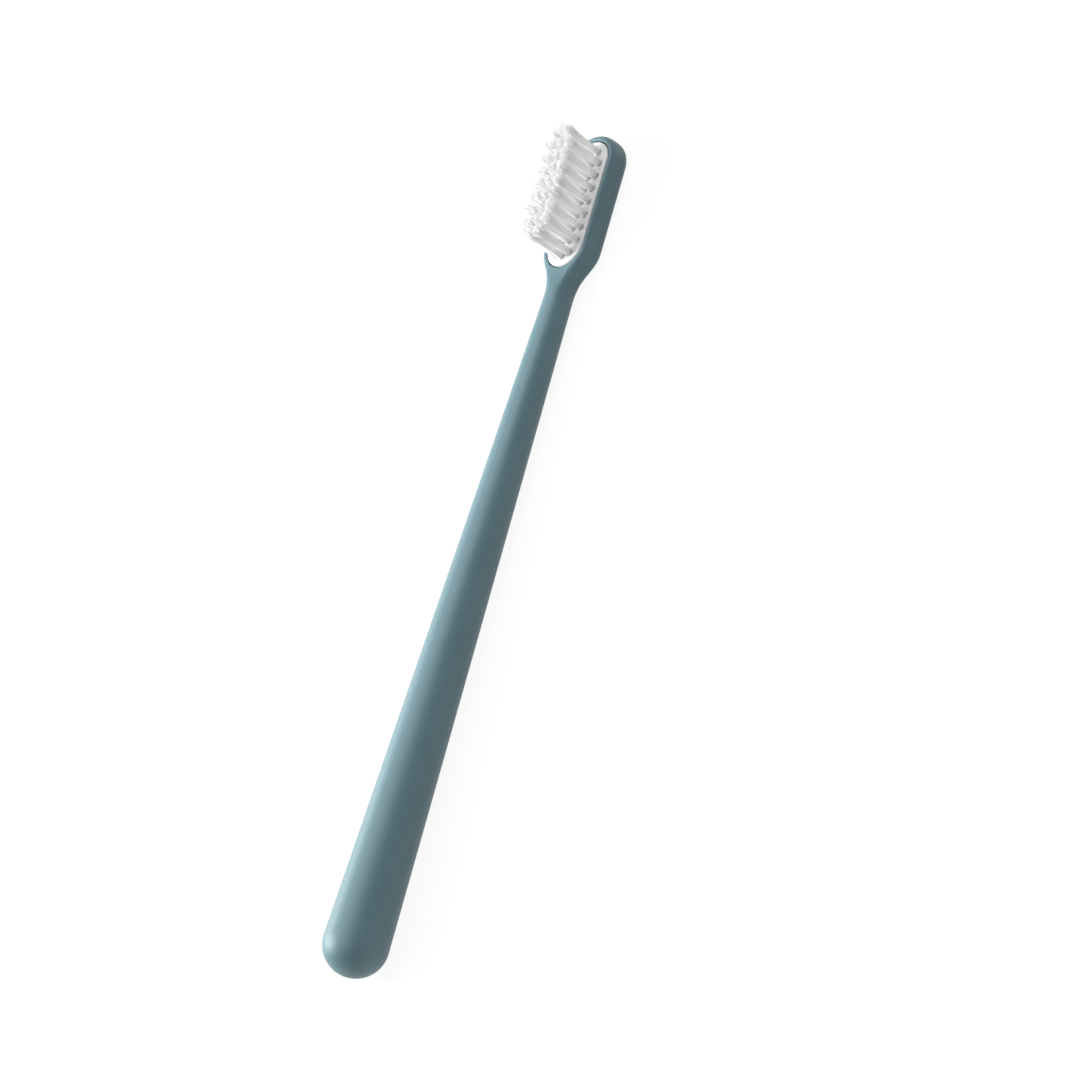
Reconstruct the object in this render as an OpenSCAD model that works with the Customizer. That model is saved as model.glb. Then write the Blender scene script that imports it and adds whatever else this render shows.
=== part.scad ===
// Toothbrush with a head that can be taken out.
// The brush lies on its back. Y runs from the thick end of the handle to the tip of the ring,
// Z runs up along the bristles and X runs across. Z is zero on the flat back of the ring.

/* [Whole brush] */

// Length from the thick end of the handle to the tip of the ring
overall_length = 190; // [170:1:210]

/* [Handle grip] */

// Diameter of the round, thick end
end_diameter = 13.4; // [11.5:0.1:15]
// Diameter of the slim neck, where the shoulder starts
neck_diameter = 6.2; // [5.6:0.1:6.8]
// Length of the shoulder, from the neck to the end of the ring
shoulder_length = 4.8; // [3.5:0.1:8]

/* [Ring at the head end] */

// Width of the ring across its outside
ring_width = 13.4; // [13:0.1:14.5]
// Length of the ring along its outside
ring_length = 33.4; // [33:0.1:36]
// Depth of the ring, from its back to its rim
ring_depth = 5.6; // [5.4:0.1:6.2]
// Radius of the ring's outer edges
ring_edge_radius = 0.9; // [0.6:0.1:1.2]
// Width of the pocket that takes the head
pocket_width = 10.8; // [10.4:0.1:11]
// Length of the pocket that takes the head
pocket_length = 30.2; // [29.8:0.1:30.6]
// Depth of the pocket, from the rim to the ledge
pocket_depth = 4.2; // [3.8:0.1:4.5]
// Width of the slot in the ledge, where a thumb pushes the head out
slot_width = 6.2; // [4.6:0.1:7]
// Length of the slot in the ledge
slot_length = 17.4; // [14:0.1:20]

/* [Plate of the head] */

// Gap between the plate and the wall of the pocket
side_gap = 0.25; // [0.2:0.01:0.35]
// Gap between the plate and the ledge under it
seat_gap = 0.05; // [0.03:0.01:0.1]
// How far the plate's face lies below the rim
face_recess = 0.05; // [0:0.01:0.2]
// Radius of the plate's edges
plate_edge_radius = 0.35; // [0.2:0.05:0.6]

/* [Snap ribs and grooves] */

// Length of the rib on each side of the plate
rib_length = 4.4; // [3:0.1:6]
// How far each rib stands out of the plate
rib_height = 0.15; // [0.1:0.01:0.18]
// Radius of each rib's round back
rib_radius = 0.3; // [0.2:0.01:0.4]
// Gap between a rib and the groove it stands in
rib_gap = 0.15; // [0.1:0.01:0.2]

/* [Tufts] */

// Distance from each end of the plate to the middle of its last tuft
end_margin = 2.2; // [2:0.05:2.4]
// Distance between tufts within a row
column_pitch = 2.15; // [2.1:0.01:2.25]
// Number of rows with a full set of tufts
row_count = 7; // [5:2:7]
// Number of tufts in a full row
column_count = 4; // [4:2:4]
// Distance from the last full row to the side tufts of the end row
end_row_pitch = 2.8; // [2.7:0.01:2.9]
// How far the middle tuft of the end row is pushed outwards
end_row_bow = 0.7; // [0.6:0.01:0.8]
// Distance of the end row's side tufts from the middle of the head
end_row_offset = 2.05; // [2:0.01:2.1]
// Diameter of a tuft where it leaves the plate
tuft_diameter = 1.56; // [1.4:0.01:1.6]
// Length of the bristles above the plate's face
bristle_length = 11.2; // [9:0.1:13]
// Depth of each tuft's hole in the plate
hole_depth = 2.6; // [2.2:0.1:2.8]
// How far the packed foot of a tuft rises above the plate's face
foot_height = 0.4; // [0.3:0.1:0.8]
// Gap between a tuft's root and the wall of its hole
root_gap = 0.02; // [0.01:0.01:0.03]
// Thickness of one strand, measured across its corners
strand_thickness = 0.26; // [0.22:0.01:0.28]
// Radius of a tuft at the tips of its strands, to the middle of its outer strands
tip_radius = 0.9; // [0.75:0.01:0.92]
// Largest difference in height between the tips
tip_scatter = 0.5; // [0:0.1:0.8]

/* [Anchors] */

// Length of the flat wire that holds a tuft down
anchor_length = 2; // [1.8:0.1:2.2]
// Thickness of that wire
anchor_thickness = 0.3; // [0.2:0.05:0.35]
// Height of that wire
anchor_height = 1.2; // [0.8:0.1:1.4]
// Gap between the wire and the bristles folded round it
anchor_gap = 0.02; // [0.01:0.01:0.03]

/* [Hidden] */

// Full, half and quarter turn, in degrees
full_turn = 360;
half_turn = full_turn / 2;
quarter_turn = full_turn / 4;

// Colours of the handle, the plate, the anchors and the bristles
teal = [0.47, 0.60, 0.64];
white = [0.95, 0.95, 0.94];
brass = [0.80, 0.68, 0.40];
frost = [0.90, 0.91, 0.91];

// Lengths that keep neighbouring faces from lying in one plane, in shares of the ring's depth
step_share = 0.011;
lift_share = 0.015;
inset_share = 0.012;
ball_step_share = 0.25;
overrun_share = 0.2;
surface_step = ring_depth * step_share;
neck_lift = ring_depth * lift_share;
inner_inset = ring_depth * inset_share;
ball_step = surface_step * ball_step_share;
overrun = ring_depth * overrun_share;

// Places along the brush
half_length = overall_length / 2;
end_radius = end_diameter / 2;
neck_radius = neck_diameter / 2;
end_y = -half_length + end_radius;
ring_y = half_length - ring_length / 2;
cap_radius = ring_width / 2;
cap_y = ring_y - ring_length / 2 + cap_radius;
neck_y = ring_y - ring_length / 2 - shoulder_length;

// Line of the grip: its underside runs along the floor, so its middle line leans
neck_z = neck_radius + neck_lift;
grip_rise = end_radius - neck_z;
grip_run = neck_y - end_y;
grip_reach = sqrt(grip_run * grip_run + grip_rise * grip_rise);
grip_lean = atan2(grip_rise, grip_run);
grip_taper = asin((end_radius - neck_radius) / grip_reach);

// Shoulder, drawn in plan as an arc that leaves the neck straight and meets the ring's end
cap_distance = cap_y - neck_y;
shoulder_radius = (cap_distance * cap_distance + neck_radius * neck_radius - cap_radius * cap_radius)
    / (2 * (cap_radius - neck_radius));
meeting_share = cap_radius / (cap_radius + shoulder_radius);
meeting_y = cap_y - cap_distance * meeting_share;
shoulder_run = meeting_y - neck_y;
shoulder_edge_share = 1.3;
shoulder_edge = ring_edge_radius * shoulder_edge_share;
section_count = 14;
corner_points = 8;
section_points = 4 * corner_points;

// Heights in the ring and the plate
ledge_z = ring_depth - pocket_depth;
plate_z = ledge_z + seat_gap;
face_z = ring_depth - face_recess;
plate_depth = face_z - plate_z;
plate_half_width = pocket_width / 2 - side_gap;
plate_half_length = pocket_length / 2 - side_gap;
rib_x = plate_half_width + rib_height - rib_radius;
rib_z = plate_z + plate_depth / 2;

// Tufts
hole_radius = tuft_diameter / 2;
hole_z = face_z - hole_depth;
root_radius = hole_radius - root_gap;
foot_z = face_z + foot_height;
tip_z = face_z + bristle_length;
strand_radius = strand_thickness / 2;
outer_strands = 8;
inner_strands = 4;
strand_count = outer_strands + inner_strands;
strand_sides = 4;
strand_edge_share = 1.15;
outer_foot_radius = root_radius - strand_radius * strand_edge_share;
inner_foot_share = 0.42;
inner_tip_share = 0.48;
inner_drop_share = 0.33;
bend_height_share = 0.45;
bend_spread_share = 0.26;
strand_end_share = 0.6;
end_row_y = plate_half_length - end_margin - end_row_bow;
last_row_y = end_row_y - end_row_pitch;
row_pitch = 2 * last_row_y / (row_count - 1);
first_column_x = (column_count - 1) / 2 * column_pitch;

// Middle of every tuft, row by row from the handle to the tip
full_rows = [
    for (row = [0 : row_count - 1], column = [0 : column_count - 1])
        [column * column_pitch - first_column_x, row * row_pitch - last_row_y]
];
end_row = [
    [-end_row_offset, end_row_y],
    [0, end_row_y + end_row_bow],
    [end_row_offset, end_row_y]
];
near_row = [for (spot = end_row) [spot[0], -spot[1]]];
tuft_spots = concat(near_row, full_rows, end_row);
tuft_count = len(tuft_spots);

// Names of the nodes
tuft_names = [for (i = [1 : tuft_count]) str(i < 10 ? "tuft_0" : "tuft_", i)];

// Half of the ring's outline across: flat back, flat front and two round edges
module edge_profile(half_width, depth, edge) {
    square([half_width - edge, depth]);
    translate([0, edge])
        square([half_width, depth - 2 * edge]);
    for (level = [edge, depth - edge])
        translate([half_width - edge, level])
            circle(r = edge);
}

// Long body with round ends and round edges, lying on the floor along Y
module rounded_bar(half_width, bar_half_length, depth, edge) {
    straight = bar_half_length - half_width;
    for (turn = [0, half_turn])
        rotate([0, 0, turn])
            translate([0, straight, 0])
                rotate_extrude(angle = half_turn)
                    intersection() {
                        edge_profile(half_width, depth, edge);
                        square([half_width, depth]);
                    }
    translate([0, straight, 0])
        rotate([quarter_turn, 0, 0])
            linear_extrude(height = 2 * straight)
                union() {
                    edge_profile(half_width, depth, edge);
                    mirror([1, 0])
                        edge_profile(half_width, depth, edge);
                }
}

// Long body with round ends and straight walls, used to cut the pocket and the slot
module straight_bar(width, bar_length, depth) {
    straight = bar_length - width;
    for (side = [-1, 1])
        translate([0, side * straight / 2, 0])
            cylinder(d = width, h = depth);
    translate([-width / 2, -straight / 2, 0])
        cube([width, straight, depth]);
}

// Round, tapered grip with a ball end, as far as the neck
module grip() {
    near = end_radius * sin(grip_taper);
    far = grip_reach + overrun;
    slope = tan(grip_taper);
    near_radius = end_radius * cos(grip_taper) - ball_step;
    color(teal)
        difference() {
            translate([0, end_y, end_radius]) {
                sphere(r = end_radius);
                rotate([-quarter_turn - grip_lean, 0, 0])
                    translate([0, 0, near])
                        cylinder(r1 = near_radius, r2 = near_radius - (far - near) * slope, h = far - near);
            }
            translate([-end_radius, neck_y, -overrun])
                cube([end_diameter, 2 * overrun, end_diameter + 2 * overrun]);
        }
}

// Smooth step from nought to one
function ease(t) = t * t * (3 - 2 * t);

// Half width of the shoulder at a distance from the neck
function shoulder_half_width(run) = neck_radius + shoulder_radius
    - sqrt(shoulder_radius * shoulder_radius - run * run);

// Outline of the shoulder at one place: a rectangle whose corners start as quarter circles
function shoulder_section(t) = let (
    wide = shoulder_half_width(t * shoulder_run) + surface_step - ease(t) * (surface_step + inner_inset),
    low = neck_lift - surface_step + ease(t) * (inner_inset / 2),
    high = neck_z + neck_radius + surface_step
        + ease(t) * (ring_depth - inner_inset - neck_z - neck_radius - surface_step),
    corner = neck_radius + surface_step + ease(t) * (shoulder_edge - neck_radius - surface_step),
    corner_x = wide - corner,
    middle_z = (high + low) / 2,
    corner_z = (high - low) / 2 - corner
) [
    for (quarter = [0 : 3], k = [0 : corner_points - 1])
        let (
            angle = quarter_turn * (quarter + (k + 0.5) / corner_points),
            side_x = quarter == 0 || quarter == 3 ? 1 : -1,
            side_z = quarter < 2 ? 1 : -1
        )
        [
            side_x * corner_x + corner * cos(angle),
            neck_y + t * shoulder_run,
            middle_z + side_z * corner_z + corner * sin(angle)
        ]
];

// Shoulder that widens from the neck into the ring
module shoulder() {
    points = [
        for (i = [0 : section_count - 1])
            each shoulder_section(i / (section_count - 1))
    ];
    last = (section_count - 1) * section_points;
    sides = [
        for (i = [0 : section_count - 2], j = [0 : section_points - 1])
            let (
                a = i * section_points + j,
                b = i * section_points + (j + 1) % section_points,
                c = b + section_points,
                d = a + section_points
            )
            each [[a, b, c], [a, c, d]]
    ];
    near_end = [for (j = [1 : section_points - 2]) [0, j + 1, j]];
    far_end = [for (j = [1 : section_points - 2]) [last, last + j, last + j + 1]];
    polyhedron(points = points, faces = concat(sides, near_end, far_end), convexity = 4);
}

// Groove in each side wall of the pocket, opposite the ribs of the plate
module snap_grooves() {
    groove_length = rib_length + 2 * rib_gap;
    for (side = [-1, 1])
        translate([side * rib_x, groove_length / 2, rib_z])
            rotate([quarter_turn, 0, 0])
                cylinder(r = rib_radius + rib_gap, h = groove_length);
}

// Ring and shoulder, with the pocket and the slot cut out. They are moulded in one with the grip.
module ring() {
    color(teal)
        difference() {
            union() {
                shoulder();
                translate([0, ring_y, 0])
                    rounded_bar(cap_radius, ring_length / 2, ring_depth, ring_edge_radius);
            }
            translate([0, ring_y, 0]) {
                translate([0, 0, ledge_z])
                    straight_bar(pocket_width, pocket_length, pocket_depth + overrun);
                translate([0, 0, -overrun])
                    straight_bar(slot_width, slot_length, ledge_z + 2 * overrun);
                snap_grooves();
            }
        }
}

// Flat wire across the foot of one tuft, grown by a gap on its two broad faces
module anchor_blade(spot, gap) {
    translate([spot[0] - anchor_thickness / 2 - gap, spot[1] - anchor_length / 2, hole_z])
        cube([anchor_thickness + 2 * gap, anchor_length, anchor_height + gap]);
}

// Plate of the head, with a blind hole for each tuft and a rib on each side
module head_plate() {
    color(white)
        translate([0, ring_y, 0])
            difference() {
                union() {
                    translate([0, 0, plate_z])
                        rounded_bar(plate_half_width, plate_half_length, plate_depth, plate_edge_radius);
                    for (side = [-1, 1])
                        translate([side * rib_x, rib_length / 2, rib_z])
                            rotate([quarter_turn, 0, 0])
                                cylinder(r = rib_radius, h = rib_length);
                }
                for (spot = tuft_spots) {
                    translate([spot[0], spot[1], hole_z])
                        cylinder(r = hole_radius, h = hole_depth + overrun);
                    anchor_blade(spot, 0);
                }
            }
}

// Flat wires that hold the tufts in their holes
module tuft_anchors() {
    color(brass)
        translate([0, ring_y, 0])
            for (spot = tuft_spots)
                anchor_blade(spot, 0);
}

// Corner points of a strand at one height, turned to face outwards
function strand_ring(radius, angle, height, size) = [
    for (k = [0 : strand_sides - 1])
        [
            radius * cos(angle) + size * cos(angle + k * quarter_turn),
            radius * sin(angle) + size * sin(angle + k * quarter_turn),
            height
        ]
];

// One strand: four-sided, upright at its foot and leaning outwards towards its tip
module strand(foot_radius, spread_radius, angle, top) {
    bottom = face_z;
    middle = foot_z + (top - foot_z) * bend_height_share;
    middle_radius = foot_radius + (spread_radius - foot_radius) * bend_spread_share;
    points = concat(
        strand_ring(foot_radius, angle, bottom, strand_radius),
        strand_ring(middle_radius, angle, middle, strand_radius),
        strand_ring(spread_radius, angle, top, strand_radius * strand_end_share)
    );
    sides = [
        for (level = [0, 1], k = [0 : strand_sides - 1])
            let (
                a = level * strand_sides + k,
                b = level * strand_sides + (k + 1) % strand_sides,
                c = b + strand_sides,
                d = a + strand_sides
            )
            each [[a, c, b], [a, d, c]]
    ];
    last = 2 * strand_sides;
    bottom_end = [for (k = [1 : strand_sides - 2]) [0, k, k + 1]];
    top_end = [for (k = [1 : strand_sides - 2]) [last, last + k + 1, last + k]];
    polyhedron(points = points, faces = concat(sides, bottom_end, top_end), convexity = 2);
}

// One tuft: a packed root folded round its anchor, with loose strands above it
module tuft(index) {
    spot = tuft_spots[index];
    drops = rands(0, tip_scatter, strand_count, index + 1);
    color(frost)
        translate([0, ring_y, 0])
            union() {
                difference() {
                    translate([spot[0], spot[1], hole_z])
                        cylinder(r = root_radius, h = foot_z - hole_z);
                    anchor_blade(spot, anchor_gap);
                }
                translate([spot[0], spot[1], 0]) {
                    for (i = [0 : outer_strands - 1])
                        strand(
                            outer_foot_radius,
                            tip_radius,
                            (i + 0.5) * full_turn / outer_strands,
                            tip_z - drops[i]
                        );
                    for (i = [0 : inner_strands - 1])
                        strand(
                            outer_foot_radius * inner_foot_share,
                            tip_radius * inner_tip_share,
                            i * full_turn / inner_strands,
                            tip_z - drops[outer_strands + i] * inner_drop_share
                        );
                }
            }
}

grip();
ring();
head_plate();
tuft_anchors();
for (i = [0 : tuft_count - 1])
    tuft(i);
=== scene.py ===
import math

import bmesh
import bpy
from mathutils import Matrix, Vector


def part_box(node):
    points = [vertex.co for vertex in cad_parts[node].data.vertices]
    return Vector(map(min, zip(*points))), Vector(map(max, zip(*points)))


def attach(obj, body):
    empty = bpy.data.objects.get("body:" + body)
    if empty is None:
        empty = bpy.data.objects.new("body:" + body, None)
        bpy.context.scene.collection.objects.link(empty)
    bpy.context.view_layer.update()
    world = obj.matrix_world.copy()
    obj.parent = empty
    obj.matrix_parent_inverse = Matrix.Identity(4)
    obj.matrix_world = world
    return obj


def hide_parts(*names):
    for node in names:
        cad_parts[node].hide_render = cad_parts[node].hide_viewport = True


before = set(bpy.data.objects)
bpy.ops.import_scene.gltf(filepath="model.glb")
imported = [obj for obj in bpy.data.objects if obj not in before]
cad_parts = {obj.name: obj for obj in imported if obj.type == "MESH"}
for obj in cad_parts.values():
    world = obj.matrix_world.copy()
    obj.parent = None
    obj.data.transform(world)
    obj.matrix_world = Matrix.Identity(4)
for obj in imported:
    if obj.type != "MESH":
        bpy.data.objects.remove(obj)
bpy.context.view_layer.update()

# Moulded handle
# One piece of satin teal plastic: a tapered round grip, a slim neck, and a shoulder that opens into
# a racetrack ring. The ring's pocket takes the head, and a thumb pushes it out through a slot in the
# floor. A profile is swept round the ring, and the shoulder is lofted from it to the neck.

MM = 0.001
grip_low, grip_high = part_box("grip")
ring_low, ring_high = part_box("ring")
END_RADIUS = (grip_high.x - grip_low.x) / 2
END_Y = grip_low.y + END_RADIUS
NECK_Y = ring_low.y
NECK_RADIUS = 3.1 * MM
NECK_Z = 3.184 * MM
CAP_RADIUS = (ring_high.x - ring_low.x) / 2
RING_LENGTH = 33.4 * MM
RING_DEPTH = 5.6 * MM
RING_Y = ring_high.y - RING_LENGTH / 2
RING_STRAIGHT = RING_LENGTH / 2 - CAP_RADIUS
RIM_ROUND = (1.0 * MM, 2.2 * MM)
BACK_ROUND = (2.0 * MM, 2.2 * MM)
POCKET_RADIUS = 5.4 * MM
POCKET_STRAIGHT = 9.7 * MM
LEDGE_Z = 1.4 * MM
POCKET_EDGE = 0.28 * MM
POCKET_FILLET = 0.3 * MM
SLOT_RADIUS = 3.1 * MM
SLOT_STRAIGHT = 5.6 * MM
SLOT_EDGE = 0.4 * MM
GROOVE_Z = 3.5 * MM
GROOVE_HEIGHT = 0.45 * MM
GROOVE_LENGTH = 4.7 * MM
GROOVE_DEPTH = 0.1 * MM
GROOVE_END_SLOPE = 3
SHOULDER_ANGLE = math.radians(34.8)
TOP_ARC_START = math.radians(40)
CAP_STEPS = 48
STRAIGHT_STEPS = 44
CORNER_STEPS = 8
SHOULDER_STEPS = 36
ROUND_STEPS = 8
OUTER_WALL_STEPS = 4
SMALL_EDGE_STEPS = 5
FILLET_STEPS = 4
POCKET_WALL_STEPS = 30
LEDGE_STEPS = 6
BACK_STEPS = 8
LOFT_STEPS = 18
GRIP_STEPS = 100
BALL_STEPS = 20
BEND_SHARE = 0.34


def arc(centre_radius, centre_z, width, start, end, steps, height=None):
    """Points (radius, z) along part of a small circle or oval. Angles are in degrees."""
    points = []
    for i in range(steps + 1):
        angle = math.radians(start + (end - start) * i / steps)
        rise = (height or width) * math.sin(angle)
        points.append((centre_radius + width * math.cos(angle), centre_z + rise))
    return points


def line(start, end, steps):
    """Points between two profile points, without the points themselves."""
    return [
        tuple(a + (b - a) * i / steps for a, b in zip(start, end))
        for i in range(1, steps)
    ]


def racetrack_stations():
    """Places round a racetrack as (share of the straight, angle), from the right-hand side on.

    Also gives the first and the last place on the shoulder, where the ring's outer face is open.
    """
    near = math.pi + SHOULDER_ANGLE
    far = 2 * math.pi - SHOULDER_ANGLE
    places = [(2 * i / STRAIGHT_STEPS - 1, 0.0) for i in range(STRAIGHT_STEPS)]
    places += [(1.0, math.pi * i / CAP_STEPS) for i in range(CAP_STEPS)]
    places += [(1 - 2 * i / STRAIGHT_STEPS, math.pi) for i in range(STRAIGHT_STEPS)]
    places += [(-1.0, math.pi + SHOULDER_ANGLE * i / CORNER_STEPS) for i in range(CORNER_STEPS)]
    first = len(places)
    places += [(-1.0, near + (far - near) * i / SHOULDER_STEPS) for i in range(SHOULDER_STEPS)]
    last = len(places)
    places += [(-1.0, far + SHOULDER_ANGLE * i / CORNER_STEPS) for i in range(CORNER_STEPS)]
    return places, first, last


def on_track(station, straight, radius, z):
    """Point of a racetrack round the ring's middle."""
    share, angle = station
    y = RING_Y + share * straight + radius * math.sin(angle)
    return Vector((radius * math.cos(angle), y, z))


def bump_share(distance, reach):
    """One at a distance of nought, falling smoothly to nought at reach."""
    share = min(abs(distance) / reach, 1)
    return (1 - share * share) ** 2


def ring_profile():
    """Closed outline of the ring's wall as (straight, radius, z), its outer face first.

    Also gives the number of points on the outer face.
    """
    back_width, back_height = BACK_ROUND
    rim_width, rim_height = RIM_ROUND
    rim_z = RING_DEPTH - rim_height
    edge_z = RING_DEPTH - POCKET_EDGE
    foot_z = LEDGE_Z + POCKET_FILLET
    outer = arc(CAP_RADIUS - back_width, back_height, back_width, -90, 0, ROUND_STEPS, back_height)
    outer += line((CAP_RADIUS, back_height), (CAP_RADIUS, rim_z), OUTER_WALL_STEPS)
    outer += arc(CAP_RADIUS - rim_width, rim_z, rim_width, 0, 90, ROUND_STEPS, rim_height)
    rim = arc(POCKET_RADIUS + POCKET_EDGE, edge_z, POCKET_EDGE, 90, 180, SMALL_EDGE_STEPS)
    wall = line((POCKET_RADIUS, edge_z), (POCKET_RADIUS, foot_z), POCKET_WALL_STEPS)
    fillet = arc(POCKET_RADIUS - POCKET_FILLET, foot_z, POCKET_FILLET, 0, -90, FILLET_STEPS)
    slot_round = SLOT_RADIUS + SLOT_EDGE
    slot = arc(slot_round, LEDGE_Z - SLOT_EDGE, SLOT_EDGE, 90, 180, SMALL_EDGE_STEPS)
    slot += arc(slot_round, SLOT_EDGE, SLOT_EDGE, 180, 270, SMALL_EDGE_STEPS)
    points = [(RING_STRAIGHT, *p) for p in outer]
    points += [(POCKET_STRAIGHT, *p) for p in rim + wall + fillet]
    shelf_start = (POCKET_STRAIGHT, *fillet[-1])
    shelf_end = (SLOT_STRAIGHT, *slot[0])
    points += line(shelf_start, shelf_end, LEDGE_STEPS)
    points += [(SLOT_STRAIGHT, *p) for p in slot]
    back_start = (SLOT_STRAIGHT, *slot[-1])
    back_end = (RING_STRAIGHT, *outer[0])
    points += line(back_start, back_end, BACK_STEPS)
    return points, len(outer)


def loft_point(start, start_way, end, end_way, share):
    """Point of a smooth curve that leaves start along start_way and reaches end along end_way."""
    reach = (end - start).length * BEND_SHARE
    leaving = start + start_way * reach
    reaching = end - end_way * reach
    rest = 1 - share
    middle = 3 * rest * rest * share * leaving + 3 * rest * share * share * reaching
    return rest ** 3 * start + middle + share ** 3 * end


def join_loops(mesh, near, far):
    """Fills the strip between two loops that have as many points as each other."""
    count = len(near)
    for i in range(count):
        j = (i + 1) % count
        mesh.faces.new((near[i], near[j], far[j], far[i]))


def on_wall(radius, wall_radius, edge, station):
    """True on the straight sides of a wall."""
    return abs(radius - wall_radius) < edge / 100 and abs(station[0]) < 1


def moulded_handle_mesh():
    """The ring first, then the shoulder down to the neck, the grip and its round end."""
    mesh = bmesh.new()
    stations, first, last = racetrack_stations()
    profile, outer_count = ring_profile()
    grid = []
    for station in stations:
        column = []
        for straight, radius, z in profile:
            point = on_track(station, straight, radius, z)
            if on_wall(radius, POCKET_RADIUS, POCKET_EDGE, station):
                sink = GROOVE_DEPTH * bump_share(z - GROOVE_Z, GROOVE_HEIGHT)
                along = bump_share(point.y - RING_Y, GROOVE_LENGTH / 2)
                sink *= min(1, GROOVE_END_SLOPE * along)
                point.x += math.copysign(sink, point.x)
            column.append(mesh.verts.new(point))
        grid.append(column)
    for i, column in enumerate(grid):
        following = grid[(i + 1) % len(grid)]
        for k in range(len(profile)):
            if first <= i < last and k < outer_count - 1:
                continue
            m = (k + 1) % len(profile)
            mesh.faces.new((column[k], following[k], following[m], column[m]))

    top = outer_count - 1
    rim = [(i, top) for i in range(first, last + 1)]
    rim += [(last, k) for k in range(top - 1, 0, -1)]
    rim += [(i, 0) for i in range(last, first - 1, -1)]
    rim += [(first, k) for k in range(1, top)]
    span = math.pi - 2 * TOP_ARC_START
    side = 2 * TOP_ARC_START
    neck_angles = []
    for start, turn, steps in (
        (math.pi - TOP_ARC_START, span, SHOULDER_STEPS),
        (TOP_ARC_START, side, top),
        (-TOP_ARC_START, span, SHOULDER_STEPS),
        (math.pi + TOP_ARC_START, side, top),
    ):
        neck_angles += [start - turn * i / steps for i in range(steps)]
    rim_loop = [grid[i][k] for i, k in rim]
    forward = Vector((0, 1, 0))
    ways = []
    for i, k in rim:
        lean = (stations[i][1] - 1.5 * math.pi) / (math.pi / 2 - SHOULDER_ANGLE)
        sideways = math.sin(SHOULDER_ANGLE) * lean
        ways.append(Vector((sideways, math.sqrt(1 - sideways * sideways), 0)))

    def grip_points(y, radius, z):
        return [
            Vector((radius * math.cos(angle), y, z + radius * math.sin(angle)))
            for angle in neck_angles
        ]

    def grip_loop(y, radius, z):
        return [mesh.verts.new(point) for point in grip_points(y, radius, z)]

    loops = []
    for step in range(LOFT_STEPS):
        loop = []
        starts = grip_points(NECK_Y, NECK_RADIUS, NECK_Z)
        for start, vertex, way in zip(starts, rim_loop, ways):
            point = loft_point(start, forward, vertex.co, way, step / LOFT_STEPS)
            loop.append(mesh.verts.new(point))
        loops.append(loop)
    for near, far in zip(loops, loops[1:] + [rim_loop]):
        join_loops(mesh, near, far)

    previous = loops[0]
    for step in range(1, GRIP_STEPS + 1):
        share = step / GRIP_STEPS
        y = NECK_Y + (END_Y - NECK_Y) * share
        radius = NECK_RADIUS + (END_RADIUS - NECK_RADIUS) * share
        z = NECK_Z + (END_RADIUS - NECK_Z) * share
        loop = grip_loop(y, radius, z)
        join_loops(mesh, loop, previous)
        previous = loop
    for step in range(1, BALL_STEPS):
        angle = math.pi / 2 * step / BALL_STEPS
        y = END_Y - END_RADIUS * math.sin(angle)
        loop = grip_loop(y, END_RADIUS * math.cos(angle), END_RADIUS)
        join_loops(mesh, loop, previous)
        previous = loop
    pole = mesh.verts.new((0, END_Y - END_RADIUS, END_RADIUS))
    for i in range(len(previous)):
        mesh.faces.new((pole, previous[(i + 1) % len(previous)], previous[i]))
    return mesh


def finished_object(name, mesh):
    """Turns a bmesh into a smooth-shaded object whose faces point outwards."""
    bmesh.ops.recalc_face_normals(mesh, faces=mesh.faces)
    for face in mesh.faces:
        face.smooth = True
    data = bpy.data.meshes.new(name)
    mesh.to_mesh(data)
    mesh.free()
    made = bpy.data.objects.new(name, data)
    bpy.context.scene.collection.objects.link(made)
    return made


class Wire:
    """The output of a node. Arithmetic on wires and numbers adds Math nodes to the same tree."""

    def __init__(self, tree, socket):
        self.tree = tree
        self.socket = socket

    @classmethod
    def node(cls, tree, kind, inputs=None, output=0, stops=None, **settings):
        """Adds a node: its settings and ramp stops first, then the value or wire of each socket."""
        made = tree.nodes.new(kind)
        for name, value in settings.items():
            setattr(made, name, value)
        if stops:
            ramp = made.color_ramp.elements
            while len(ramp) < len(stops):
                ramp.new(0.5)
            for element, (position, colour) in zip(ramp, stops):
                element.position = position
                element.color = colour
        for key, value in (inputs or {}).items():
            if isinstance(value, Wire):
                tree.links.new(value.socket, made.inputs[key])
            else:
                made.inputs[key].default_value = value
        return cls(tree, made.outputs[output]) if len(made.outputs) else None

    def math(self, operation, first, second=0.0):
        return Wire.node(self.tree, "ShaderNodeMath", {0: first, 1: second}, operation=operation)

    def __add__(self, other):
        return self.math("ADD", self, other)

    def __radd__(self, other):
        return self.math("ADD", other, self)

    def __sub__(self, other):
        return self.math("SUBTRACT", self, other)

    def __rsub__(self, other):
        return self.math("SUBTRACT", other, self)

    def __mul__(self, other):
        return self.math("MULTIPLY", self, other)

    def __rmul__(self, other):
        return self.math("MULTIPLY", other, self)

    def __truediv__(self, other):
        return self.math("DIVIDE", self, other)

    def __pow__(self, other):
        return self.math("POWER", self, other)

    def cosine(self):
        return self.math("COSINE", self)

    def sine(self):
        return self.math("SINE", self)

    def clamped(self):
        """The same number, held between nought and one."""
        return Wire.node(self.tree, "ShaderNodeClamp", {"Value": self})

    def beside(self, name):
        """Another output of the same node."""
        return Wire(self.tree, self.socket.node.outputs[name])


def new_material(name):
    made = bpy.data.materials.new(name)
    made.use_nodes = True
    made.node_tree.nodes.clear()
    return made, made.node_tree


def speckle(tree, place, scale, detail=2.0):
    """Noise from nought to one at a scale in features per metre."""
    return Wire.node(
        tree, "ShaderNodeTexNoise", {"Vector": place, "Scale": scale, "Detail": detail}
    )


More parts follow.
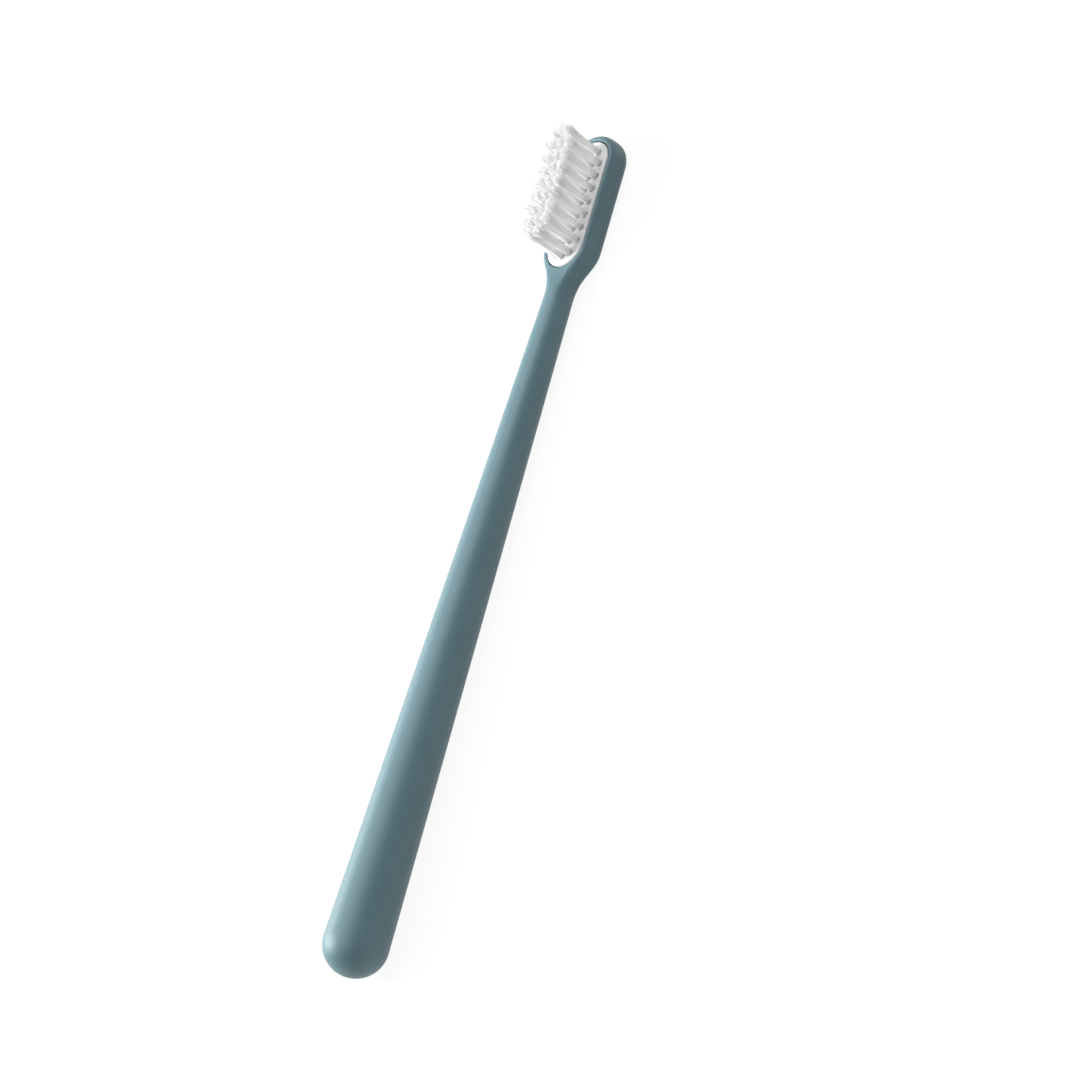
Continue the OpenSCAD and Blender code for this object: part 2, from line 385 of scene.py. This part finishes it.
def mixed(tree, share, first, second):
    """A colour between two colours."""
    return Wire.node(
        tree, "ShaderNodeMix", {0: share, 6: first, 7: second}, output=2, data_type="RGBA"
    )


def satin_teal_plastic():
    """Moulded plastic with a fine satin grain, slow waves and a tone that drifts a little."""
    dark_teal = (0.121, 0.220, 0.256, 1)
    light_teal = (0.143, 0.248, 0.286, 1)
    cloud_share = 0.7
    wave_height = 1.5
    material, tree = new_material("satin_teal_plastic")
    place = Wire.node(tree, "ShaderNodeTexCoord", output="Object")
    cloud = speckle(tree, place, scale=90)
    grain = speckle(tree, place, scale=5200, detail=1)
    waves = speckle(tree, place, scale=260)
    colour = mixed(tree, cloud * cloud_share + grain * (1 - cloud_share), dark_teal, light_teal)
    height = grain + waves * wave_height
    relief = {"Strength": 0.12, "Distance": 0.04 * MM, "Height": height}
    normal = Wire.node(tree, "ShaderNodeBump", relief)
    surface = Wire.node(
        tree,
        "ShaderNodeBsdfPrincipled",
        {"Base Color": colour, "Roughness": 0.42 + 0.1 * cloud, "Normal": normal, "IOR": 1.49},
    )
    Wire.node(tree, "ShaderNodeOutputMaterial", {"Surface": surface})
    return material


handle = finished_object("moulded_handle", moulded_handle_mesh())
handle.data.materials.append(satin_teal_plastic())
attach(handle, "handle")
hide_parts("grip", "ring")

# Plate of the head
# A glossy white plate that fills the pocket, with a short rib halfway along each side that snaps
# into the ring's wall, and a blind hole for every tuft. Its sides are swept from a profile, and its
# face is filled round the mouths of the holes.

plate_low, plate_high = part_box("head_plate")
RIB_HEIGHT = 0.15 * MM
RIB_LENGTH = 4.4 * MM
RIB_HALF_THICKNESS = 0.26 * MM
RIB_END_SLOPE = 4
PLATE_RADIUS = plate_high.x - RIB_HEIGHT
PLATE_STRAIGHT = (plate_high.y - plate_low.y) / 2 - PLATE_RADIUS
PLATE_TOP = plate_high.z
PLATE_BOTTOM = plate_low.z
PLATE_EDGE = 0.35 * MM
PLATE_EDGE_STEPS = 6
PLATE_SIDE_STEPS = 36
RIB_Z = (PLATE_TOP + PLATE_BOTTOM) / 2
HOLE_RADIUS = 0.78 * MM
HOLE_DEPTH = 2.6 * MM
HOLE_CHAMFER = 0.05 * MM
HOLE_SIDES = 24
ROW_COUNT = 7
COLUMN_COUNT = 4
COLUMN_PITCH = 2.15 * MM
END_MARGIN = 2.2 * MM
END_ROW_PITCH = 2.8 * MM
END_ROW_BOW = 0.7 * MM
END_ROW_OFFSET = 2.05 * MM


def tuft_places():
    """Middle of every tuft, as x and y: the full rows first, then the two end rows."""
    end_row = (plate_high.y - plate_low.y) / 2 - END_MARGIN - END_ROW_BOW
    last_row = end_row - END_ROW_PITCH
    places = []
    for row in range(ROW_COUNT):
        for column in range(COLUMN_COUNT):
            x = (column - (COLUMN_COUNT - 1) / 2) * COLUMN_PITCH
            places.append((x, RING_Y - last_row + 2 * last_row * row / (ROW_COUNT - 1)))
    for side in (-1, 1):
        places.append((-END_ROW_OFFSET, RING_Y + side * end_row))
        places.append((0.0, RING_Y + side * (end_row + END_ROW_BOW)))
        places.append((END_ROW_OFFSET, RING_Y + side * end_row))
    return places


def head_plate_mesh():
    """The plate's sides and bottom, then its holes, then the face between them."""
    mesh = bmesh.new()
    stations, _, _ = racetrack_stations()
    inner = PLATE_RADIUS - PLATE_EDGE
    low_z = PLATE_BOTTOM + PLATE_EDGE
    high_z = PLATE_TOP - PLATE_EDGE
    profile = [(inner - PLATE_EDGE / 2, PLATE_BOTTOM)]
    profile += arc(inner, low_z, PLATE_EDGE, -90, 0, PLATE_EDGE_STEPS)
    profile += line((PLATE_RADIUS, low_z), (PLATE_RADIUS, high_z), PLATE_SIDE_STEPS)
    profile += arc(inner, high_z, PLATE_EDGE, 0, 90, PLATE_EDGE_STEPS)
    profile += [(inner - PLATE_EDGE / 2, PLATE_TOP)]
    loops = []
    for radius, z in profile:
        loop = []
        for station in stations:
            point = on_track(station, PLATE_STRAIGHT, radius, z)
            if on_wall(radius, PLATE_RADIUS, PLATE_EDGE, station):
                out = RIB_HEIGHT * math.sqrt(bump_share(z - RIB_Z, RIB_HALF_THICKNESS))
                along = bump_share(point.y - RING_Y, RIB_LENGTH / 2)
                out *= min(1, RIB_END_SLOPE * along)
                point.x += math.copysign(out, point.x)
            loop.append(mesh.verts.new(point))
        loops.append(loop)
    for near, far in zip(loops, loops[1:]):
        join_loops(mesh, near, far)
    mesh.faces.new(loops[0])

    def circle(x, y, z, radius):
        points = []
        for i in range(HOLE_SIDES):
            angle = 2 * math.pi * i / HOLE_SIDES
            place = (x + radius * math.cos(angle), y + radius * math.sin(angle), z)
            points.append(mesh.verts.new(place))
        return points

    outline = loops[-1]
    top_edges = [mesh.edges.get((outline[i - 1], outline[i])) for i in range(len(outline))]
    for x, y in tuft_places():
        mouth = circle(x, y, PLATE_TOP, HOLE_RADIUS + HOLE_CHAMFER)
        throat = circle(x, y, PLATE_TOP - HOLE_CHAMFER, HOLE_RADIUS)
        floor = circle(x, y, PLATE_TOP - HOLE_DEPTH, HOLE_RADIUS)
        join_loops(mesh, mouth, throat)
        join_loops(mesh, throat, floor)
        mesh.faces.new(floor)
        for i in range(HOLE_SIDES):
            edge = mesh.edges.get((mouth[i - 1], mouth[i]))
            edge.smooth = False
            top_edges.append(edge)
    bmesh.ops.triangle_fill(mesh, edges=top_edges, use_beauty=True)
    return mesh


def gloss_white_plastic():
    """Polished white plastic, faintly uneven in tone, gloss and surface."""
    cool_white = (0.80, 0.805, 0.805, 1)
    bright_white = (0.83, 0.835, 0.835, 1)
    material, tree = new_material("gloss_white_plastic")
    place = Wire.node(tree, "ShaderNodeTexCoord", output="Object")
    cloud = speckle(tree, place, scale=150)
    ripple = speckle(tree, place, scale=700, detail=1)
    relief = {"Strength": 0.08, "Distance": 0.05 * MM, "Height": ripple}
    normal = Wire.node(tree, "ShaderNodeBump", relief)
    surface = Wire.node(
        tree,
        "ShaderNodeBsdfPrincipled",
        {
            "Base Color": mixed(tree, cloud, cool_white, bright_white),
            "Roughness": 0.17 + 0.1 * cloud,
            "Normal": normal,
            "IOR": 1.5,
        },
    )
    Wire.node(tree, "ShaderNodeOutputMaterial", {"Surface": surface})
    return material


plate = finished_object("head_plate_moulding", head_plate_mesh())
plate.data.materials.append(gloss_white_plastic())
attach(plate, "head")
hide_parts("head_plate")

# Anchors of the tufts
# Thirty-four flat pieces of brass wire. Each is pressed across the foot of a folded tuft and bites
# into both sides of its hole. They keep their CAD solids and get a drawn-metal finish.


def stretched(tree, place, scales):
    """Places with each axis scaled on its own, for marks that run one way."""
    return Wire.node(
        tree, "ShaderNodeVectorMath", {0: place, 1: scales}, operation="MULTIPLY"
    )


def drawn_brass():
    """Brass wire with fine lengthwise draw marks."""
    dull_brass = (0.50, 0.36, 0.15, 1)
    bright_brass = (0.80, 0.62, 0.30, 1)
    marks_per_metre = (9000.0, 600.0, 9000.0)
    material, tree = new_material("drawn_brass")
    place = Wire.node(tree, "ShaderNodeTexCoord", output="Object")
    marks = speckle(tree, stretched(tree, place, marks_per_metre), scale=1)
    surface = Wire.node(
        tree,
        "ShaderNodeBsdfPrincipled",
        {
            "Base Color": mixed(tree, marks, dull_brass, bright_brass),
            "Metallic": 1.0,
            "Roughness": 0.25 + 0.2 * marks,
        },
    )
    Wire.node(tree, "ShaderNodeOutputMaterial", {"Surface": surface})
    return material


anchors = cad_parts["tuft_anchors"]
anchors.data.materials.clear()
anchors.data.materials.append(drawn_brass())

# Tufts of bristles
# Every tuft is a bundle of fine nylon filaments that start at the plate's face, packed tight, and
# spread towards their trimmed tips, more along the head than across it. Geometry Nodes grow them,
# and the result is one plain mesh.

FILAMENTS_IN_A_TUFT = 52
FILAMENT_RADIUS = 0.095 * MM
FILAMENT_LENGTH = 11.15 * MM
FILAMENT_POINTS = 7
FILAMENT_SIDES = 5
SPREAD_ALONG = 0.95 * MM
SPREAD_ACROSS = 0.5 * MM
DOME = 1.1 * MM
TIP_SCATTER = 0.25 * MM
WANDER = 0.14 * MM
TIP_SHARE = 0.45
OPENING_POWER = 2.6
NARROWING_POWER = 4
TURN_BETWEEN_FILAMENTS = math.radians(137.508)
TURN_BETWEEN_TUFTS = 1.7
BRISTLE_SEED = 11


def add_input(tree, name, kind, value=None):
    socket = tree.interface.new_socket(name, in_out="INPUT", socket_type=kind)
    if value is not None:
        socket.default_value = value
    return socket


def bristle_tree():
    """Grows a bundle of filaments from every point of a mesh."""
    tree = bpy.data.node_groups.new("bristle_tufts", "GeometryNodeTree")
    add_input(tree, "Tuft places", "NodeSocketGeometry")
    add_input(tree, "Filaments in a tuft", "NodeSocketInt")
    add_input(tree, "Packed radius", "NodeSocketFloat")
    add_input(tree, "Filament radius", "NodeSocketFloat")
    add_input(tree, "Filament length", "NodeSocketFloat")
    add_input(tree, "Spread across", "NodeSocketFloat")
    add_input(tree, "Spread along", "NodeSocketFloat")
    add_input(tree, "Dome", "NodeSocketFloat")
    add_input(tree, "Tip scatter", "NodeSocketFloat")
    add_input(tree, "Wander", "NodeSocketFloat")
    add_input(tree, "Tip share", "NodeSocketFloat")
    add_input(tree, "Seed", "NodeSocketInt")
    add_input(tree, "Material", "NodeSocketMaterial")
    tree.interface.new_socket("Bristles", in_out="OUTPUT", socket_type="NodeSocketGeometry")
    entry = Wire.node(tree, "NodeGroupInput")

    def given(name):
        return entry.beside(name)

    def stored(geometry_in, name, value, kind):
        return Wire.node(
            tree,
            "GeometryNodeStoreNamedAttribute",
            {"Geometry": geometry_in, "Name": name, "Value": value},
            data_type=kind,
            domain="POINT",
        )

    def recalled(name, kind="FLOAT_VECTOR"):
        return Wire.node(tree, "GeometryNodeInputNamedAttribute", {"Name": name}, data_type=kind)

    def vector(x, y, z):
        return Wire.node(tree, "ShaderNodeCombineXYZ", {"X": x, "Y": y, "Z": z})

    def part(value, axis):
        return Wire.node(tree, "ShaderNodeSeparateXYZ", {0: value}, output=axis)

    index = Wire.node(tree, "GeometryNodeInputIndex")
    numbered = stored(given("Tuft places"), "tuft", index, "INT")
    points = Wire.node(
        tree,
        "GeometryNodeDuplicateElements",
        {"Geometry": numbered, "Amount": given("Filaments in a tuft")},
        output="Geometry",
        domain="POINT",
    )
    filament = points.beside("Duplicate Index")
    tuft = recalled("tuft", "INT")
    share = (filament + 0.5) / given("Filaments in a tuft")
    reach = share ** 0.5
    turn = filament * TURN_BETWEEN_FILAMENTS + tuft * TURN_BETWEEN_TUFTS
    way_x = reach * turn.cosine()
    way_y = reach * turn.sine()
    root = Wire.node(
        tree,
        "ShaderNodeVectorMath",
        {
            0: Wire.node(tree, "GeometryNodeInputPosition"),
            1: vector(way_x * given("Packed radius"), way_y * given("Packed radius"), 0.0),
        },
        operation="ADD",
    )
    luck = Wire.node(
        tree,
        "FunctionNodeRandomValue",
        {
            0: (-1.0, -1.0, -1.0),
            1: (1.0, 1.0, 1.0),
            "ID": tuft * given("Filaments in a tuft") + filament,
            "Seed": given("Seed"),
        },
        data_type="FLOAT_VECTOR",
    )
    points = stored(points, "root", root, "FLOAT_VECTOR")
    points = stored(points, "way", vector(way_x, way_y, 0.0), "FLOAT_VECTOR")
    points = stored(points, "luck", luck, "FLOAT_VECTOR")

    straight = Wire.node(tree, "GeometryNodeCurvePrimitiveLine", {"End": (0.0, 0.0, 1.0)})
    straight = Wire.node(
        tree, "GeometryNodeResampleCurve", {"Curve": straight, "Count": FILAMENT_POINTS}
    )
    grown = Wire.node(tree, "GeometryNodeInstanceOnPoints", {"Points": points, "Instance": straight})
    grown = Wire.node(tree, "GeometryNodeRealizeInstances", {"Geometry": grown})
    height = Wire.node(tree, "GeometryNodeSplineParameter")
    way = recalled("way")
    luck = recalled("luck")
    out_x = part(way, 0)
    out_y = part(way, 1)
    length = given("Filament length") - given("Dome") * (out_x * out_x + out_y * out_y)
    length = length - given("Tip scatter") * (0.5 + 0.5 * part(luck, 2))
    opening = height ** OPENING_POWER
    lean_x = opening * (given("Spread across") * out_x + given("Wander") * part(luck, 0))
    lean_y = opening * (given("Spread along") * out_y + given("Wander") * part(luck, 1))
    place = Wire.node(
        tree,
        "ShaderNodeVectorMath",
        {0: recalled("root"), 1: vector(lean_x, lean_y, height * length)},
        operation="ADD",
    )
    grown = Wire.node(tree, "GeometryNodeSetPosition", {"Geometry": grown, "Position": place})
    narrowing = 1 - (1 - given("Tip share")) * (height ** NARROWING_POWER)
    outline = Wire.node(
        tree, "GeometryNodeCurvePrimitiveCircle", {"Resolution": FILAMENT_SIDES, "Radius": 1.0}
    )
    thickness = given("Filament radius") * narrowing
    solid = Wire.node(
        tree,
        "GeometryNodeCurveToMesh",
        {"Curve": grown, "Profile Curve": outline, "Scale": thickness, "Fill Caps": True},
    )
    solid = Wire.node(tree, "GeometryNodeSetShadeSmooth", {"Geometry": solid})
    solid = Wire.node(tree, "GeometryNodeRealizeInstances", {"Geometry": solid})
    solid = Wire.node(
        tree, "GeometryNodeSetMaterial", {"Geometry": solid, "Material": given("Material")}
    )
    Wire.node(tree, "NodeGroupOutput", {"Bristles": solid})
    return tree


def grown_mesh(name, start_points, tree, values):
    """Runs a geometry tree over some points and gives the result as an object with a plain mesh."""
    data = bpy.data.meshes.new(name)
    data.from_pydata(start_points, [], [])
    made = bpy.data.objects.new(name, data)
    bpy.context.scene.collection.objects.link(made)
    modifier = made.modifiers.new("growth", "NODES")
    modifier.node_group = tree
    for item in tree.interface.items_tree:
        if item.in_out == "INPUT" and item.name in values:
            modifier[item.identifier] = values[item.name]
    result = bpy.data.meshes.new_from_object(
        made.evaluated_get(bpy.context.evaluated_depsgraph_get())
    )
    made.modifiers.clear()
    made.data = result
    made.data.name = name
    return made


def frosted_nylon():
    """Clear nylon that looks white, its colour painted whiter at the shaded feet and greyer towards
    the tips.

    The emission stands for the light that clear filaments carry along themselves.
    """
    foot_white_painted_light = (0.975, 0.976, 0.977, 1)
    tip_grey = (0.66, 0.662, 0.665, 1)
    streak_grey = (0.93, 0.932, 0.934, 1)
    streaks_per_metre = (3600.0, 3600.0, 140.0)
    greying_power = 1.6
    streak_share = 0.5
    streak_fade = 0.7
    carried_light = ((0.0, 0.3), (0.25, 0.9), (0.65, 1.0), (0.85, 0.2), (1.0, 0.0))
    material, tree = new_material("frosted_nylon")
    place = Wire.node(tree, "ShaderNodeTexCoord", output="Object")
    height = Wire.node(tree, "ShaderNodeSeparateXYZ", {0: place}, output=2)
    rise = ((height - PLATE_TOP) / FILAMENT_LENGTH).clamped()
    streak = speckle(tree, stretched(tree, place, streaks_per_metre), scale=1)
    # Painted light: the base colour is whiter near the plate, where the packed feet lie in shade,
    # and greyer towards the tips.
    tone = mixed(tree, rise ** greying_power, foot_white_painted_light, tip_grey)
    colour = mixed(tree, streak * streak_share * (1 - rise * streak_fade), tone, streak_grey)
    carried = Wire.node(
        tree,
        "ShaderNodeValToRGB",
        {"Fac": rise},
        stops=[(share, (level, level, level, 1)) for share, level in carried_light],
    )
    surface = Wire.node(
        tree,
        "ShaderNodeBsdfPrincipled",
        {
            "Base Color": colour,
            "Emission Color": carried,
            "Emission Strength": 0.085,
            "Roughness": 0.38 + 0.2 * streak,
            "IOR": 1.53,
            "Subsurface Weight": 1.0,
            "Subsurface Radius": (1.0, 1.0, 1.0),
            "Subsurface Scale": 0.0025,
        },
    )
    Wire.node(tree, "ShaderNodeOutputMaterial", {"Surface": surface})
    return material


bristles = grown_mesh(
    "bristle_tufts",
    [(x, y, PLATE_TOP) for x, y in tuft_places()],
    bristle_tree(),
    {
        "Filaments in a tuft": FILAMENTS_IN_A_TUFT,
        "Packed radius": HOLE_RADIUS - FILAMENT_RADIUS,
        "Filament radius": FILAMENT_RADIUS,
        "Filament length": FILAMENT_LENGTH,
        "Spread across": SPREAD_ACROSS,
        "Spread along": SPREAD_ALONG,
        "Dome": DOME,
        "Tip scatter": TIP_SCATTER,
        "Wander": WANDER,
        "Tip share": TIP_SHARE,
        "Seed": BRISTLE_SEED,
        "Material": frosted_nylon(),
    },
)
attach(bristles, "head")
tuft_nodes = [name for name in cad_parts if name.startswith("tuft_")]
tuft_nodes.remove("tuft_anchors")
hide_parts(*tuft_nodes)

# Studio
# A white floor just under the brush, soft square lamps and an even white surround. Azimuth is nought
# off the thick end and grows towards +X. The strong lamps, key and near_edge, stand on the -X side,
# whose edge is the lit one in the photograph. The others stand past the tip, above and at +X.

FLOOR_SIZE = 1.2
FLOOR_GAP = 0.05 * MM
FLOOR_GREY = (0.55, 0.55, 0.55, 1)
FLOOR_GLOW = 1.06
GLOW_SHARE = 0.88
SURROUND_LIGHT = 0.04
WHITE = (1, 1, 1, 1)


def plain_floor():
    """Floor that glows white where it is looked at and still takes the brush's soft shadow."""
    material, tree = new_material("plain_floor")
    seen = Wire.node(tree, "ShaderNodeLightPath", output="Is Camera Ray")
    mirrored = seen.beside("Is Glossy Ray")
    passed = seen.beside("Is Transmission Ray")
    looked_at = (seen + mirrored + passed).clamped()
    matte = Wire.node(tree, "ShaderNodeBsdfDiffuse", {"Color": FLOOR_GREY})
    glow = Wire.node(tree, "ShaderNodeEmission", {"Color": WHITE, "Strength": FLOOR_GLOW})
    share = looked_at * GLOW_SHARE
    surface = Wire.node(tree, "ShaderNodeMixShader", {0: share, 1: matte, 2: glow})
    Wire.node(tree, "ShaderNodeOutputMaterial", {"Surface": surface})
    return material


half_floor = FLOOR_SIZE / 2
corners = [(x * half_floor, y * half_floor) for x, y in ((-1, -1), (1, -1), (1, 1), (-1, 1))]
floor_mesh = bpy.data.meshes.new("floor")
floor_mesh.from_pydata([(x, y, -FLOOR_GAP) for x, y in corners], [], [(0, 1, 2, 3)])
floor_mesh.materials.append(plain_floor())
floor = bpy.data.objects.new("floor", floor_mesh)
bpy.context.scene.collection.objects.link(floor)


def white_surround():
    """World that looks white to the camera and gives the brush only a little light."""
    world = bpy.data.worlds.new("surround")
    world.use_nodes = True
    tree = world.node_tree
    tree.nodes.clear()
    seen = Wire.node(tree, "ShaderNodeLightPath", output="Is Camera Ray")
    lit = Wire.node(tree, "ShaderNodeBackground", {"Color": WHITE, "Strength": SURROUND_LIGHT})
    shown = Wire.node(tree, "ShaderNodeBackground", {"Color": WHITE, "Strength": 1.0})
    surface = Wire.node(tree, "ShaderNodeMixShader", {0: seen, 1: lit, 2: shown})
    Wire.node(tree, "ShaderNodeOutputWorld", {"Surface": surface})
    return world


bpy.context.scene.world = white_surround()


def way_from(azimuth, elevation):
    """Direction from the brush to a place round it, as a unit vector."""
    return Vector(
        (
            math.sin(azimuth) * math.cos(elevation),
            -math.cos(azimuth) * math.cos(elevation),
            math.sin(elevation),
        )
    )


def soft_lamp(name, azimuth, elevation, distance, size, power):
    """Square lamp that looks at the middle of the brush. Angles in degrees."""
    data = bpy.data.lights.new(name, "AREA")
    data.shape = "SQUARE"
    data.size = size
    data.energy = power
    made = bpy.data.objects.new(name, data)
    way = way_from(math.radians(azimuth), math.radians(elevation))
    made.location = way * distance
    made.rotation_mode = "QUATERNION"
    made.rotation_quaternion = (-way).to_track_quat("-Z", "Y")
    bpy.context.scene.collection.objects.link(made)


soft_lamp("key", azimuth=-70, elevation=41, distance=0.9, size=0.5, power=8)
soft_lamp("tip_end", azimuth=-171, elevation=52, distance=0.9, size=0.5, power=3)
soft_lamp("near_edge", azimuth=-89, elevation=24, distance=1.2, size=0.85, power=12)
soft_lamp("overhead", azimuth=0, elevation=89, distance=1.0, size=0.7, power=3.4)
soft_lamp("fill", azimuth=32, elevation=60, distance=1.2, size=0.9, power=1.1)
soft_lamp("low_side", azimuth=75, elevation=15, distance=1.0, size=0.45, power=0.7)

# Camera
# It stands where the photograph was taken from, rolled so that the brush points up in the picture.
# Its place, roll and lens were fitted to the outlines of the ring, the pocket and the handle.

AIM = Vector((-12.7, 13.5, -21.09)) * MM
VIEW_AZIMUTH = math.radians(64.591)
VIEW_ELEVATION = math.radians(37.747)
VIEW_ROLL = math.radians(-57.79)
VIEW_DISTANCE = 885.6 * MM
LENS = 140
NEAREST_SEEN = 10 * MM
MAX_BOUNCES = 24
DIFFUSE_BOUNCES = 16

camera_data = bpy.data.cameras.new("camera")
camera_data.lens = LENS
camera_data.clip_start = NEAREST_SEEN
camera = bpy.data.objects.new("camera", camera_data)
back = way_from(VIEW_AZIMUTH, VIEW_ELEVATION)
level = back.to_track_quat("Z", "Y").to_matrix()
camera.matrix_world = (
    Matrix.Translation(AIM + back * VIEW_DISTANCE)
    @ (level @ Matrix.Rotation(VIEW_ROLL, 3, "Z")).to_4x4()
)
bpy.context.scene.collection.objects.link(camera)
bpy.context.scene.camera = camera

bpy.context.scene.view_settings.view_transform = "Standard"
bpy.context.scene.cycles.max_bounces = MAX_BOUNCES
bpy.context.scene.cycles.diffuse_bounces = DIFFUSE_BOUNCES
